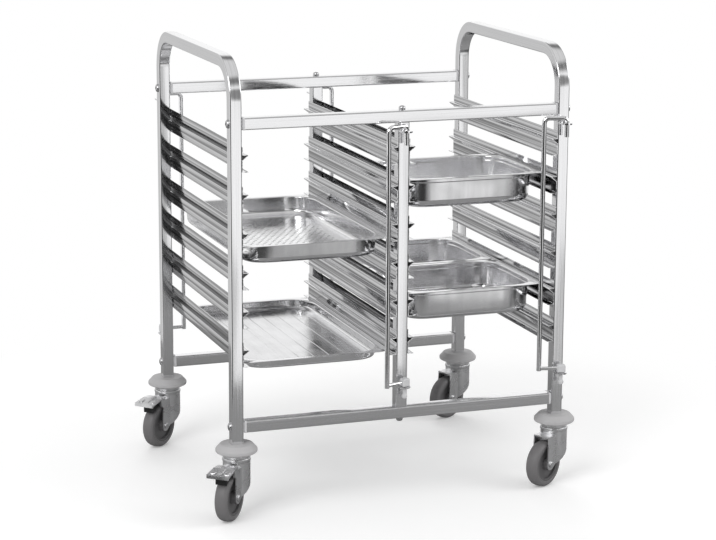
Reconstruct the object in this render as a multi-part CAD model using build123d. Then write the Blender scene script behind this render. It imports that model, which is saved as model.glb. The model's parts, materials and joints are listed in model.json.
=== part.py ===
from build123d import *
import os
from math import cos, radians, sin

# A tray trolley of square tube with two columns of slides, locked by swinging bars, on four castors.
# Millimetres. The floor is z = 0. +X runs along the long side to the right, +Y to the rear, +Z up.
# The castors and pedals trail to the left front, so the whole footprint is wider there than the frame.
# The origin is the centre of that footprint, and the frame's centre stands this far from it.
FRAME_AT_X = 22.6
FRAME_AT_Y = 23.0

# Trays and pans, to the usual catering sizes
TRAY_WIDTH = 325.0
TRAY_LENGTH = 530.0
RIM_FLANGE = 12.5
RIM_CORNER = 24.0
TRAY_SHEET = 1.0
BODY_CORNER = 56.0
BODY_DRAFT = 3.0
PERFORATED_DEPTH = 40.0
PERFORATED_FOLD = 13.0
SHALLOW_DEPTH = 20.0
SHALLOW_FOLD = 9.0
PAN_DEPTH = 65.0
PAN_FOLD = 18.0
SEAT_GAP = 0.3
REAR_PAN_END_GAP = 2.5
PAN_SPLIT_GAP = 4.5

# Slides, folded from sheet
SLIDE_SHEET = 1.2
SLIDE_FOLD = 1.0
LEVELS = 6
LEVEL_PITCH = 80.5
WEB_ABOVE_LEDGE = 16.0
LEDGE_FOLD_DROP = 10.8
WEB_BELOW_LEDGE = 36.0
LEDGE_OVERRUN = 1.0
TRAY_SIDE_GAP = 2.55
LEDGE_BODY_GAP = 3.25
TRAY_END_MARGIN = 25.0

# Frame tube
TUBE = 25.0
TUBE_WALL = 1.5
TUBE_CORNER = 2.5
HANDLE_BEND = 75.0
HANDLE_RISE = 120.0
HEADROOM = 49.5
FOOTROOM = 114.0
RAIL_LIFT = 46.0

# Rail end plugs, bolts and screws
PLUG_CLEARANCE = 0.15
PLUG_RECESS = 2.0
PLUG_STEP = 2.5
PLUG_FLANGE = 4.0
PLUG_LENGTH = 24.0
BOLT = 8.0
BOLT_CLEARANCE = 0.2
THREAD_GAP = 0.05
BOLT_HEAD = 18.0
BOLT_HEAD_HEIGHT = 5.0
SCREW_HEAD = 14.0
SCREW_HEAD_HEIGHT = 8.5
BITE = 18.0

# Lock bars
ROD = 10.0
ROD_OFFSET = 48.0
ROD_TOP_BEND = 10.0
HOOK_BEND = 9.0
STUB = 8.0
ROD_TOP_RISE = 0.5
HOOK_TAB_GAP = 1.0
HOOK_BELOW_TAB = 26.5
PIVOT_OUT = 17.0
TAB_SHEET = 3.0
TAB_RADIUS = 12.0
RUNNING_FIT = 0.08
BLOCK_WIDTH = 18.0
BLOCK_DEPTH = 16.0
BLOCK_HEIGHT = 17.0
BLOCK_CORNER = 3.0
BLOCK_LIFT = 49.5
BLOCK_GAP = 0.3
STUB_BITE = 7.0
PIVOT_PIN = 8.0
PIVOT_PIN_DROP = 21.0
PIN_BITE = 4.0
PIN_NUT = 12.0

# Castors, each drawn with its wheel trailing along its own +X
WHEEL_RADIUS = 50.0
WHEEL_WIDTH = 28.0
TREAD_CORNER = 8.0
TYRE_DEPTH = 12.5
TYRE_FIT = 0.1
CORE_INSET = 2.0
CORE_DISH = 5.0
CORE_RIM = 5.0
HUB_RADIUS = 13.0
TRAIL = 38.0
AXLE = 8.0
AXLE_RUNNING_FIT = 0.06
AXLE_SEAT_FIT = 0.1
AXLE_HEAD = 13.0
AXLE_HEAD_HEIGHT = 3.5
AXLE_NUT_HEIGHT = 6.5
AXLE_END = 1.5
FORK_GAP = 3.5
HUB_GAP = 0.4
FORK_SHEET = 2.5
CROWN_SHEET = 3.0
CROWN_GAP = 9.0
CROWN_REACH = 46.0
LEG_END_RADIUS = 12.0
SKIRT_RADIUS = 28.5
SKIRT_DROP = 26.0
NECK_HEIGHT = 7.0
RACE_RADIUS = 29.5
RACE_HEIGHT = 7.5
RACE_ROUND = 2.0
RACE_GAP = 0.3
MOUNT_RADIUS = 27.0
MOUNT_DISC = 5.2
KING_PIN = 12.0
KING_HEAD = 20.0
KING_HEAD_HEIGHT = 3.0
STEM_CLEARANCE = 0.3
STEM_END_GAP = 4.0

# The way each wheel trails, in degrees from straight forward towards the left
TRAIL_ANGLES = {"left_front": 40.0, "left_rear": 48.0, "right_front": 58.5, "right_rear": 63.5}

# Brake pedals of the two left castors
BRAKE_PIVOT_REACH = 52.0
BRAKE_PIVOT_LIFT = 4.0
BRAKE_PIN = 5.0
BRAKE_EAR = 7.0
BRAKE_SWING = 8.0
PEDAL_SHEET = 2.4
PEDAL_ROOT = 42.0
PEDAL_BREAK = 62.0
PEDAL_TIP = 97.0
PEDAL_ABOVE_CROWN = 4.5
PEDAL_TIP_DROP = 6.0
PEDAL_LIP = 5.0
PEDAL_ROOT_WIDTH = 45.6
PEDAL_TIP_WIDTH = 52.0
PEDAL_CORNER = 6.0
CHEEK_GAP = 0.3
CHEEK_SHEET = 2.5
SHOE_WIDTH = 25.0
SHOE_PAST_PIVOT = 9.0
SHOE_LENGTH = 18.0
SHOE_LOW = 28.0
SHOE_TREAD_GAP = 1.5
SHOE_SEAT_GAP = 0.05

# Wall bumpers round the feet of the legs
BUMPER_RADIUS = 43.5
BUMPER_BASE_RADIUS = 31.0
BUMPER_TOP_RADIUS = 34.0
BUMPER_HEIGHT = 23.0
BUMPER_WAIST = 6.0
BUMPER_BAND = 6.5
BUMPER_FIT = 0.2

# Places worked out from the sizes above
PAN_LENGTH = TRAY_LENGTH / 2
UPRIGHT_GAP = TRAY_WIDTH + 2 * TRAY_SIDE_GAP + 2 * SLIDE_SHEET
LEDGE = RIM_FLANGE + TRAY_SIDE_GAP + SLIDE_SHEET - LEDGE_BODY_GAP
FRAME_DEPTH = TRAY_LENGTH + 2 * TRAY_END_MARGIN
COLUMN_X = (UPRIGHT_GAP + TUBE) / 2
LEG_X = UPRIGHT_GAP + TUBE
LEG_Y = (FRAME_DEPTH - TUBE) / 2
FACE_Y = FRAME_DEPTH / 2

CROWN_UNDER = 2 * WHEEL_RADIUS + CROWN_GAP
CROWN_TOP = CROWN_UNDER + CROWN_SHEET
RACE_UNDER = CROWN_TOP + NECK_HEIGHT
RACE_TOP = RACE_UNDER + RACE_HEIGHT
MOUNT_UNDER = RACE_TOP + RACE_GAP
LEG_FOOT = MOUNT_UNDER + MOUNT_DISC
FORK_INNER = WHEEL_WIDTH / 2 + FORK_GAP
FORK_OUTER = FORK_INNER + FORK_SHEET

BOTTOM_RAIL_UNDER = LEG_FOOT + RAIL_LIFT
POST_FOOT = BOTTOM_RAIL_UNDER + TUBE
LOWEST_LEDGE = POST_FOOT + FOOTROOM + WEB_BELOW_LEDGE
TOP_LEDGE = LOWEST_LEDGE + (LEVELS - 1) * LEVEL_PITCH
TOP_RAIL_UNDER = TOP_LEDGE + HEADROOM
HANDLE_TOP = TOP_RAIL_UNDER + TUBE + HANDLE_RISE
RAIL_CENTRES = (BOTTOM_RAIL_UNDER + TUBE / 2, TOP_RAIL_UNDER + TUBE / 2)
RAIL_END = LEG_X - TUBE / 2 - PLUG_RECESS - PLUG_FLANGE

ROD_TOP = TOP_RAIL_UNDER + ROD_TOP_RISE
BLOCK_UNDER = POST_FOOT + BLOCK_LIFT
LOWER_TAB_TOP = BLOCK_UNDER - BLOCK_GAP
UPPER_TAB_TOP = ROD_TOP - ROD / 2 - HOOK_BEND - HOOK_TAB_GAP
HOOK_END = UPPER_TAB_TOP - TAB_SHEET - HOOK_BELOW_TAB
STUB_Z = BLOCK_UNDER + BLOCK_HEIGHT / 2

BRAKE_PIVOT_Z = 2 * WHEEL_RADIUS + BRAKE_PIVOT_LIFT
PEDAL_TOP = CROWN_TOP + PEDAL_ABOVE_CROWN + PEDAL_SHEET / 2

SIDES = {"left": -1, "right": 1}
ENDS = {"front": -1, "rear": 1}

# Each lock bar by the side and end of its upright, its turn, and the degrees it stands open
LOCK_BARS = {
    "front_centre": (0, -1, 0, 20),
    "front_right": (1, -1, 0, -15),
    "rear_centre": (0, 1, 180, 0),
    "rear_left": (-1, 1, 180, 0),
}

REAR_PAN_Y = FACE_Y - REAR_PAN_END_GAP - PAN_LENGTH / 2
FRONT_PAN_Y = REAR_PAN_Y - PAN_LENGTH - PAN_SPLIT_GAP


def group(pieces):
    """Separate solids that share one node."""
    return Compound([solid for piece in pieces for solid in piece.solids()])


def tube_face(size, corner):
    return RectangleRounded(size, size, corner)


def tube_bore_size():
    return TUBE - 2 * TUBE_WALL


def tube_bore_corner():
    return TUBE_CORNER - TUBE_WALL


def straight_tube(length):
    """A square tube along Z from z = 0, hollow, with rounded corners."""
    outer = extrude(tube_face(TUBE, TUBE_CORNER), length)
    bore = extrude(tube_face(tube_bore_size(), tube_bore_corner()), length)
    return outer - bore


def cross_hole(diameter, x, y, z):
    """A drill along X, long enough for one tube."""
    return Pos(x, y, z) * Rot(0, 90, 0) * Cylinder(diameter / 2, 2 * TUBE)


def level_z(level):
    """The top of the ledge, level 1 uppermost."""
    return TOP_LEDGE - (level - 1) * LEVEL_PITCH


def end_frame(side):
    """One tube bent to an upside-down U: two legs and the push handle across them."""
    handle_z = HANDLE_TOP - TUBE / 2
    corners = [(0, -LEG_Y, LEG_FOOT), (0, -LEG_Y, handle_z), (0, LEG_Y, handle_z), (0, LEG_Y, LEG_FOOT)]
    route = FilletPolyline(corners, radius=HANDLE_BEND)
    foot = Plane((0, -LEG_Y, LEG_FOOT), x_dir=(1, 0, 0), z_dir=(0, 0, 1))
    outer = sweep(foot * tube_face(TUBE, TUBE_CORNER), path=route)
    bore = sweep(foot * tube_face(tube_bore_size(), tube_bore_corner()), path=route)
    frame = outer - bore
    for y in (-LEG_Y, LEG_Y):
        for z in RAIL_CENTRES:
            frame -= cross_hole(BOLT + 2 * BOLT_CLEARANCE, 0, y, z)
    return Pos(side * LEG_X, 0, 0) * frame


def rail(end, z):
    """A long rail between the end plugs, drilled upright at its middle for the post screw."""
    body = Pos(-RAIL_END, 0, 0) * Rot(0, 90, 0) * straight_tube(2 * RAIL_END)
    body -= Cylinder(BOLT / 2 + BOLT_CLEARANCE, 2 * TUBE)
    return Pos(0, end * LEG_Y, z) * body


def centre_post(end):
    return Pos(0, end * LEG_Y, POST_FOOT) * straight_tube(TOP_RAIL_UNDER - POST_FOOT)


def plug_body(length):
    """The solid part of a plug inside a tube, along +Z from z = 0."""
    inside = tube_bore_size() - 2 * PLUG_CLEARANCE
    return extrude(tube_face(inside, tube_bore_corner()), length)


def rail_end_plug():
    """Along +Z: the recessed neck against the leg, the flange against the rail's end, the part inside."""
    neck = extrude(tube_face(TUBE - 2 * PLUG_STEP, tube_bore_corner()), PLUG_RECESS)
    flange = Pos(0, 0, PLUG_RECESS) * extrude(tube_face(TUBE, TUBE_CORNER), PLUG_FLANGE)
    inner = Pos(0, 0, PLUG_RECESS + PLUG_FLANGE) * plug_body(PLUG_LENGTH)
    return neck + flange + inner - Cylinder(BOLT / 2 + THREAD_GAP, 4 * PLUG_LENGTH)


def rail_end_plugs():
    plugs = []
    for side in SIDES.values():
        for end in ENDS.values():
            for z in RAIL_CENTRES:
                place = Pos(side * (LEG_X - TUBE / 2), end * LEG_Y, z) * Rot(0, -90 * side, 0)
                plugs.append(place * rail_end_plug())
    return group(plugs)


def post_end_plugs():
    """Hidden plugs, flush with the ends of the centre posts, that hold the post screws."""
    plug = plug_body(PLUG_LENGTH) - Cylinder(BOLT / 2 + THREAD_GAP, 4 * PLUG_LENGTH)
    plugs = []
    for end in ENDS.values():
        plugs.append(Pos(0, end * LEG_Y, POST_FOOT) * plug)
        plugs.append(Pos(0, end * LEG_Y, TOP_RAIL_UNDER - PLUG_LENGTH) * plug)
    return group(plugs)


def domed_head(diameter, height, dome):
    """A round head on z = 0 with its upper edge well rounded."""
    head = Pos(0, 0, height / 2) * Cylinder(diameter / 2, height)
    return fillet(head.edges().group_by(Axis.Z)[-1], dome)


def fastener(head, shank_length):
    """A head above z = 0 and a plain shank below it."""
    return head + Pos(0, 0, -shank_length / 2) * Cylinder(BOLT / 2, shank_length)


def frame_bolts():
    """Eight bolts through the legs into the rail plugs, heads on the outer faces."""
    reach = TUBE + PLUG_RECESS + PLUG_FLANGE + BITE
    bolt = fastener(domed_head(BOLT_HEAD, BOLT_HEAD_HEIGHT, 0.8 * BOLT_HEAD_HEIGHT), reach)
    bolts = []
    for side in SIDES.values():
        for end in ENDS.values():
            for z in RAIL_CENTRES:
                bolts.append(Pos(side * (LEG_X + TUBE / 2), end * LEG_Y, z) * Rot(0, 90 * side, 0) * bolt)
    return group(bolts)


def post_screws():
    """Four screws through the rails into the centre posts, above the top rails and below the bottom ones."""
    screw = fastener(domed_head(SCREW_HEAD, SCREW_HEAD_HEIGHT, 0.3 * SCREW_HEAD), TUBE + BITE)
    screws = []
    for end in ENDS.values():
        screws.append(Pos(0, end * LEG_Y, TOP_RAIL_UNDER + TUBE) * screw)
        screws.append(Pos(0, end * LEG_Y, BOTTOM_RAIL_UNDER) * Rot(180, 0, 0) * screw)
    return group(screws)


def slide_section():
    """The folded sheet, drawn in X and Z from the upright's face inward, the ledge's top at z = 0."""
    half = SLIDE_SHEET / 2
    lip_z = -WEB_BELOW_LEDGE + half
    fold = FilletPolyline(
        (half, WEB_ABOVE_LEDGE),
        (half, -half),
        (LEDGE + LEDGE_OVERRUN, -half),
        (half, -LEDGE_FOLD_DROP),
        (half, lip_z),
        (LEDGE, lip_z),
        radius=SLIDE_FOLD,
    )
    return trace(fold, SLIDE_SHEET)


def slide():
    """One slide the whole depth of the trolley, its web on the plane x = 0, its ledge towards +X."""
    section = Plane((0, FACE_Y, 0), x_dir=(1, 0, 0), z_dir=(0, -1, 0)) * slide_section()
    return extrude(section, FRAME_DEPTH)


def slide_pair(column, level):
    """The two slides of one level: one on each upright face of the column."""
    left_face = column * COLUMN_X - UPRIGHT_GAP / 2
    right_face = column * COLUMN_X + UPRIGHT_GAP / 2
    left = Pos(left_face, 0, level_z(level)) * slide()
    right = Pos(right_face, 0, level_z(level)) * Rot(0, 0, 180) * slide()
    return group([left, right])


def tray_bowl(length, depth, fold, inset):
    """The tapered well, its mouth at z = 0, drawn in from the outer size by the inset."""
    width = TRAY_WIDTH - 2 * RIM_FLANGE - 2 * inset
    mouth = RectangleRounded(width, length - 2 * RIM_FLANGE - 2 * inset, BODY_CORNER - inset)
    well = extrude(mouth, -(depth - inset), taper=BODY_DRAFT)
    return fillet(well.edges().group_by(Axis.Z)[0], fold - inset)


def tray(length, depth, fold):
    """A pressed tray: a flat rim whose underside is z = 0 and a tapered well with rounded folds."""
    rim = extrude(RectangleRounded(TRAY_WIDTH, length, RIM_CORNER), TRAY_SHEET)
    outer = tray_bowl(length, depth - TRAY_SHEET, fold, 0)
    hollow = tray_bowl(length, depth - TRAY_SHEET, fold, TRAY_SHEET)
    mouth_width = TRAY_WIDTH - 2 * RIM_FLANGE - 2 * TRAY_SHEET
    mouth_length = length - 2 * RIM_FLANGE - 2 * TRAY_SHEET
    mouth = extrude(RectangleRounded(mouth_width, mouth_length, BODY_CORNER - TRAY_SHEET), TRAY_SHEET)
    return rim + outer - hollow - mouth


def seat_z(level, on_lip):
    """The underside of a tray's rim, on the ledge or on the lower lip of a level."""
    drop = WEB_BELOW_LEDGE - SLIDE_SHEET if on_lip else 0
    return level_z(level) - drop + SEAT_GAP


def full_tray(column, level, depth, fold):
    return Pos(column * COLUMN_X, 0, seat_z(level, True)) * tray(TRAY_LENGTH, depth, fold)


def half_pan(column, y, level):
    return Pos(column * COLUMN_X, y, seat_z(level, False)) * tray(PAN_LENGTH, PAN_DEPTH, PAN_FOLD)


def lock_place(side, end, turn):
    """Where a lock bar's pivot axis stands, turned so that its rod hangs to the side it locks."""
    return Pos(side * LEG_X, end * (FACE_Y + PIVOT_OUT), 0) * Rot(0, 0, turn)


def lock_rod():
    """Round rod about the pivot axis x = y = 0: upright, a bend over to the hook, and a stub."""
    centre = ROD_TOP - ROD / 2
    foot = STUB_Z - ROD / 2
    route = FilletPolyline(
        (-ROD_OFFSET, 0, foot),
        (-ROD_OFFSET, 0, centre),
        (0, 0, centre),
        (0, 0, HOOK_END),
        radius=[ROD_TOP_BEND, HOOK_BEND],
    )
    upright = sweep(Pos(-ROD_OFFSET, 0, foot) * Circle(ROD / 2), path=route)
    start = Plane((-ROD_OFFSET, 0, STUB_Z), z_dir=(1, 0, 0))
    stub = extrude(start * Circle(STUB / 2), ROD_OFFSET - BLOCK_WIDTH / 2 + STUB_BITE)
    return upright + stub


def lock_block():
    """The block that takes the rod's stub, with its pivot pin and the round nut at the pin's foot."""
    block = Pos(0, 0, STUB_Z) * Box(BLOCK_WIDTH, BLOCK_DEPTH, BLOCK_HEIGHT)
    block = fillet(block.edges(), BLOCK_CORNER)
    socket = Cylinder(STUB / 2 + THREAD_GAP, 2 * (STUB_BITE + THREAD_GAP))
    block -= Pos(-BLOCK_WIDTH / 2, 0, STUB_Z) * Rot(0, 90, 0) * socket
    pin_foot = BLOCK_UNDER - PIVOT_PIN_DROP
    pin = Pos(0, 0, pin_foot) * extrude(Circle(PIVOT_PIN / 2), PIVOT_PIN_DROP + PIN_BITE)
    return block + pin + Pos(0, 0, pin_foot) * Sphere(PIN_NUT / 2)


def lock_tab(hole):
    """A plate on the post's face, its far end round about the pivot axis; its top is z = 0."""
    root = Pos(0, PIVOT_OUT / 2) * Rectangle(2 * TAB_RADIUS, PIVOT_OUT)
    plate = extrude(root + Circle(TAB_RADIUS) - Circle(hole / 2), -TAB_SHEET)
    return plate


def lock_bar_tabs():
    """Eight tabs, an upper one round each rod's hook and a lower one round each pivot pin."""
    tabs = []
    for side, end, turn, _ in LOCK_BARS.values():
        place = lock_place(side, end, turn)
        tabs.append(place * Pos(0, 0, UPPER_TAB_TOP) * lock_tab(ROD + 2 * RUNNING_FIT))
        tabs.append(place * Pos(0, 0, LOWER_TAB_TOP) * lock_tab(PIVOT_PIN + 2 * RUNNING_FIT))
    return group(tabs)


def bumper():
    """A round bumper, widest below the middle, with a square hole for the leg."""
    widest = LEG_FOOT + BUMPER_WAIST
    section = Plane.XZ * make_face(
        Polyline(
            (0, LEG_FOOT),
            (BUMPER_BASE_RADIUS, LEG_FOOT),
            (BUMPER_RADIUS, widest),
            (BUMPER_RADIUS, widest + BUMPER_BAND),
            (BUMPER_TOP_RADIUS, LEG_FOOT + BUMPER_HEIGHT),
            (0, LEG_FOOT + BUMPER_HEIGHT),
            close=True,
        )
    )
    outside = section.vertices().filter_by(lambda v: v.X > BUMPER_BASE_RADIUS - 1)
    section = fillet(outside, BUMPER_BAND / 2)
    hole = TUBE + 2 * BUMPER_FIT
    core = Pos(0, 0, LEG_FOOT + BUMPER_HEIGHT / 2) * extrude(
        tube_face(hole, TUBE_CORNER), BUMPER_HEIGHT, both=True
    )
    return revolve(section, Axis.Z) - core


def castor_mount():
    """The part fixed in the leg: stem, upper race disc, and king pin with its riveted head below."""
    disc = Pos(0, 0, MOUNT_UNDER + MOUNT_DISC / 2) * Cylinder(MOUNT_RADIUS, MOUNT_DISC)
    stem_radius = tube_bore_size() / 2 - STEM_CLEARANCE
    stem = Pos(0, 0, LEG_FOOT) * extrude(Circle(stem_radius), RAIL_LIFT - STEM_END_GAP)
    head_top = CROWN_UNDER - RACE_GAP
    pin = Pos(0, 0, head_top) * extrude(Circle(KING_PIN / 2), MOUNT_UNDER - head_top)
    head = Pos(0, 0, head_top) * extrude(Circle(KING_HEAD / 2), -KING_HEAD_HEIGHT)
    return disc + stem + pin + head


def fork_outline(shrink, ears):
    """The fork from above: a round skirt about the swivel axis and two straight cheeks along +X."""
    reach = max(CROWN_REACH, TRAIL + LEG_END_RADIUS)
    if ears:
        reach = max(reach, BRAKE_PIVOT_REACH + BRAKE_EAR)
    cheeks = Pos(reach / 2, 0) * Rectangle(reach, 2 * (FORK_OUTER - shrink))
    return Circle(SKIRT_RADIUS - shrink) + cheeks


def fork_profile(ears):
    """The fork from the side: upright skirt, slanting leading edge, round leg end and brake ear."""
    lead = -SKIRT_RADIUS - 1
    skirt_foot = CROWN_TOP - SKIRT_DROP
    upper = Polyline((lead, skirt_foot), (lead, CROWN_TOP), (CROWN_REACH, CROWN_TOP))
    leg_end = Pos(TRAIL, WHEEL_RADIUS) * Circle(LEG_END_RADIUS)
    profile = make_hull([*upper.edges(), *leg_end.edges()])
    if ears:
        ear = Pos(BRAKE_PIVOT_REACH, BRAKE_PIVOT_Z) * Circle(BRAKE_EAR)
        crown_end = Line((TRAIL, CROWN_TOP), (TRAIL, BRAKE_PIVOT_Z - BRAKE_EAR))
        profile += make_hull([*crown_end.edges(), *ear.edges()])
    return profile


def fork(ears):
    """A pressed fork: crown, cheeks and leading skirt in one sheet, with the raceway ring on top."""
    side_view = Plane.XZ * fork_profile(ears)
    shell = extrude(side_view, 2 * RACE_RADIUS, both=True)
    shell &= extrude(fork_outline(0, ears), CROWN_TOP)
    shell -= Pos(0, 0, -1) * extrude(fork_outline(FORK_SHEET, ears) + inner_mouth(ears), CROWN_UNDER + 1)
    neck = Pos(0, 0, CROWN_UNDER) * extrude(Circle(SKIRT_RADIUS), RACE_UNDER - CROWN_UNDER)
    ring = Pos(0, 0, RACE_UNDER) * extrude(Circle(RACE_RADIUS), RACE_HEIGHT)
    ring = fillet(ring.edges().filter_by(GeomType.CIRCLE), RACE_ROUND)
    shell += neck + ring
    shell -= Pos(0, 0, CROWN_UNDER) * Cylinder(KING_PIN / 2 + AXLE_RUNNING_FIT, 2 * WHEEL_RADIUS)
    across = Rot(90, 0, 0) * Cylinder(AXLE / 2 + AXLE_SEAT_FIT, 4 * FORK_OUTER)
    shell -= Pos(TRAIL, 0, WHEEL_RADIUS) * across
    if ears:
        across = Rot(90, 0, 0) * Cylinder(BRAKE_PIN / 2 + AXLE_RUNNING_FIT, 4 * FORK_OUTER)
        shell -= Pos(BRAKE_PIVOT_REACH, 0, BRAKE_PIVOT_Z) * across
    return shell


def inner_mouth(ears):
    """Carries the hollow between the cheeks out past their trailing edges."""
    reach = 2 * (TRAIL + BRAKE_PIVOT_REACH)
    return Pos(reach / 2, 0) * Rectangle(reach, 2 * FORK_INNER)


def at_axle(shape):
    """Takes a piece turned about Z to the wheel's place, its axis along the castor's Y."""
    return Pos(TRAIL, 0, WHEEL_RADIUS) * Rot(90, 0, 0) * shape


def tyre():
    """A ring with rounded shoulders."""
    outer = Cylinder(WHEEL_RADIUS, WHEEL_WIDTH)
    outer = fillet(outer.edges().filter_by(GeomType.CIRCLE), TREAD_CORNER)
    return at_axle(outer - Cylinder(WHEEL_RADIUS - TYRE_DEPTH, 2 * WHEEL_WIDTH))


def wheel_core():
    """Rim, dished web and hub with the axle bore."""
    radius = WHEEL_RADIUS - TYRE_DEPTH - TYRE_FIT
    width = WHEEL_WIDTH - 2 * CORE_INSET
    body = Cylinder(radius, width)
    for face in (-1, 1):
        dish = Cylinder(radius - CORE_RIM, CORE_DISH) - Cylinder(HUB_RADIUS, 2 * CORE_DISH)
        body -= Pos(0, 0, face * (width - CORE_DISH) / 2) * dish
    body += Cylinder(HUB_RADIUS, 2 * (FORK_INNER - HUB_GAP))
    return at_axle(body - Cylinder(AXLE / 2 + AXLE_RUNNING_FIT, 4 * FORK_OUTER))


def axle():
    """The axle bolt, its low round head outside one cheek, and its nut outside the other."""
    length = 2 * FORK_OUTER + AXLE_NUT_HEIGHT + AXLE_END
    shank = Pos(0, 0, FORK_OUTER - length / 2) * Cylinder(AXLE / 2, length)
    head = Pos(0, 0, FORK_OUTER) * domed_head(AXLE_HEAD, AXLE_HEAD_HEIGHT, 0.6 * AXLE_HEAD_HEIGHT)
    nut = extrude(RegularPolygon(AXLE_HEAD / 2, 6), AXLE_NUT_HEIGHT)
    nut -= Cylinder(AXLE / 2 + THREAD_GAP, 4 * AXLE_NUT_HEIGHT)
    bolt = Rot(180, 0, 0) * (shank + head)
    return group([at_axle(bolt), at_axle(Pos(0, 0, FORK_OUTER) * nut)])


def brake_pedal():
    """A pressed pedal over the crown's end, with two cheeks outside the fork's ears and a hinge pin."""
    mid = PEDAL_TOP - PEDAL_SHEET / 2
    bend = Polyline(
        (PEDAL_ROOT, mid),
        (PEDAL_BREAK, mid),
        (PEDAL_TIP, mid - PEDAL_TIP_DROP),
        (PEDAL_TIP + 1, mid - PEDAL_TIP_DROP - PEDAL_LIP),
    )
    plate = extrude(Plane.XZ * trace(bend, PEDAL_SHEET), PEDAL_TIP_WIDTH, both=True)
    root_y = PEDAL_ROOT_WIDTH / 2
    tip_y = PEDAL_TIP_WIDTH / 2
    far = PEDAL_TIP + PEDAL_SHEET
    fan = make_face(
        Polyline((PEDAL_ROOT, -root_y), (far, -tip_y), (far, tip_y), (PEDAL_ROOT, root_y), close=True)
    )
    fan = fillet(fan.vertices().group_by(Axis.X)[-1], PEDAL_CORNER)
    plate &= extrude(fan, 4 * WHEEL_RADIUS)
    inner = FORK_OUTER + CHEEK_GAP
    ear = Pos(BRAKE_PIVOT_REACH, BRAKE_PIVOT_Z) * Circle(BRAKE_EAR)
    roof = Line((PEDAL_ROOT + PEDAL_SHEET, mid), (PEDAL_BREAK, mid))
    side_view = make_hull([*ear.edges(), *roof.edges()])
    for side in (-1, 1):
        start = Plane((0, side * inner, 0), x_dir=(1, 0, 0), z_dir=(0, -1, 0))
        plate += extrude(start * side_view, -side * CHEEK_SHEET)
    pin = Rot(90, 0, 0) * Cylinder(BRAKE_PIN / 2, 2 * (inner + CHEEK_SHEET))
    return plate + Pos(BRAKE_PIVOT_REACH, 0, BRAKE_PIVOT_Z) * pin


def brake_shoe():
    """The block under the pedal, its face hollowed to meet the tread when the pedal is down."""
    start = BRAKE_PIVOT_REACH + SHOE_PAST_PIVOT
    low = WHEEL_RADIUS + SHOE_LOW
    high = PEDAL_TOP
    block = Pos(start + SHOE_LENGTH / 2, 0, (low + high) / 2) * Box(SHOE_LENGTH, SHOE_WIDTH, high - low)
    swing = radians(BRAKE_SWING)
    back = TRAIL - BRAKE_PIVOT_REACH
    down = WHEEL_RADIUS - BRAKE_PIVOT_Z
    wheel_x = BRAKE_PIVOT_REACH + back * cos(swing) - down * sin(swing)
    wheel_z = BRAKE_PIVOT_Z + back * sin(swing) + down * cos(swing)
    tread = Rot(90, 0, 0) * Cylinder(WHEEL_RADIUS + SHOE_TREAD_GAP, 4 * SHOE_WIDTH)
    block -= Pos(wheel_x, 0, wheel_z) * tread
    under = PEDAL_TOP - PEDAL_SHEET - SHOE_SEAT_GAP
    slope = PEDAL_TIP_DROP / (PEDAL_TIP - PEDAL_BREAK)
    reach = start + SHOE_LENGTH + SHOE_WIDTH
    roof = make_face(
        Polyline(
            (0, under),
            (PEDAL_BREAK, under),
            (reach, under - slope * (reach - PEDAL_BREAK)),
            (reach, 2 * under),
            (0, 2 * under),
            close=True,
        )
    )
    return block - extrude(Plane.XZ * roof, SHOE_WIDTH, both=True)


def castor_place(name):
    """From the castor's own frame to its leg, its +X turned the way the wheel trails."""
    side_name, end_name = name.split("_")
    spot = Pos(SIDES[side_name] * LEG_X, ENDS[end_name] * LEG_Y, 0)
    return spot * Rot(0, 0, -90 - TRAIL_ANGLES[name])


def castor_parts():
    """Every castor's moving pieces, each a node of its own."""
    pieces = {}
    for name in TRAIL_ANGLES:
        place = castor_place(name)
        braked = name.startswith("left")
        pieces["castor_fork_" + name] = place * fork(braked)
        pieces["castor_tyre_" + name] = place * tyre()
        pieces["castor_wheel_core_" + name] = place * wheel_core()
        pieces["castor_axle_" + name] = place * axle()
        if braked:
            pieces["brake_pedal_" + name] = place * brake_pedal()
            pieces["brake_shoe_" + name] = place * brake_shoe()
    return pieces


def frame_parts():
    """The tubes, plugs and fasteners, and what is fixed to the legs."""
    pieces = {}
    for side_name, side in SIDES.items():
        pieces["end_frame_" + side_name] = end_frame(side)
    for end_name, end in ENDS.items():
        pieces["bottom_rail_" + end_name] = rail(end, RAIL_CENTRES[0])
        pieces["top_rail_" + end_name] = rail(end, RAIL_CENTRES[1])
        pieces["centre_post_" + end_name] = centre_post(end)
    pieces["rail_end_plugs"] = rail_end_plugs()
    pieces["post_end_plugs"] = post_end_plugs()
    pieces["frame_bolts"] = frame_bolts()
    pieces["post_screws"] = post_screws()
    pieces["lock_bar_tabs"] = lock_bar_tabs()
    feet = [Pos(side * LEG_X, end * LEG_Y, 0) for side in SIDES.values() for end in ENDS.values()]
    pieces["wall_bumpers"] = group([foot * bumper() for foot in feet])
    pieces["castor_mounts"] = group([foot * castor_mount() for foot in feet])
    return pieces


def slide_parts():
    pieces = {}
    for side_name, column in SIDES.items():
        for level in range(1, LEVELS + 1):
            pieces[f"slides_{side_name}_level_{level}"] = slide_pair(column, level)
    return pieces


def tray_parts():
    return {
        "perforated_tray": full_tray(-1, 3, PERFORATED_DEPTH, PERFORATED_FOLD),
        "shallow_tray": full_tray(-1, 6, SHALLOW_DEPTH, SHALLOW_FOLD),
        "upper_pan": half_pan(1, FRONT_PAN_Y, 2),
        "lower_pan_front": half_pan(1, FRONT_PAN_Y, 5),
        "lower_pan_rear": half_pan(1, REAR_PAN_Y, 5),
    }


def lock_parts():
    pieces = {}
    for name, (side, end, turn, opened) in LOCK_BARS.items():
        place = lock_place(side, end, turn + opened)
        pieces["lock_rod_" + name] = place * lock_rod()
        pieces["lock_block_" + name] = place * lock_block()
    return pieces


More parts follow.
